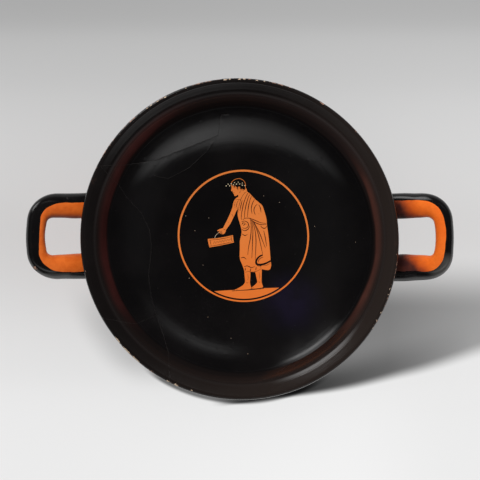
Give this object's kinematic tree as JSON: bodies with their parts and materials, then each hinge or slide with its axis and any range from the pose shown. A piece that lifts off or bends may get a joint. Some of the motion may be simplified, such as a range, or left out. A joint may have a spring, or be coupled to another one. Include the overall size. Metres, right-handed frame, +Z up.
{
  "type": "greek kylix cup",
  "caption": "Shallow stemmed drinking cup with offset flaring lip, disc foot and two upcurved loop handles, black-glazed with a clay-red figure in a circle on the bowl floor.",
  "frame": {"origin": "centre of the bounding box's base, on the cup's axis at the foot's resting ring", "axes": "+Z up along the cup's axis, +X through the right-hand handle, +Y to the top of the picture"},
  "size_m": [0.2544, 0.19, 0.0741],
  "materials": {
    "black_glaze": "gloss black slip, fired brown-red where thin, with fine wheel marks",
    "reserved_clay": "burnished orange-red clay with a low sheen and thin brown line drawing",
    "bare_clay": "matt buff-pink clay where the rim is chipped, and on the underside"
  },
  "bodies": {
    "root": {"kylix": "black_glaze"}
  },
  "joints": []
}
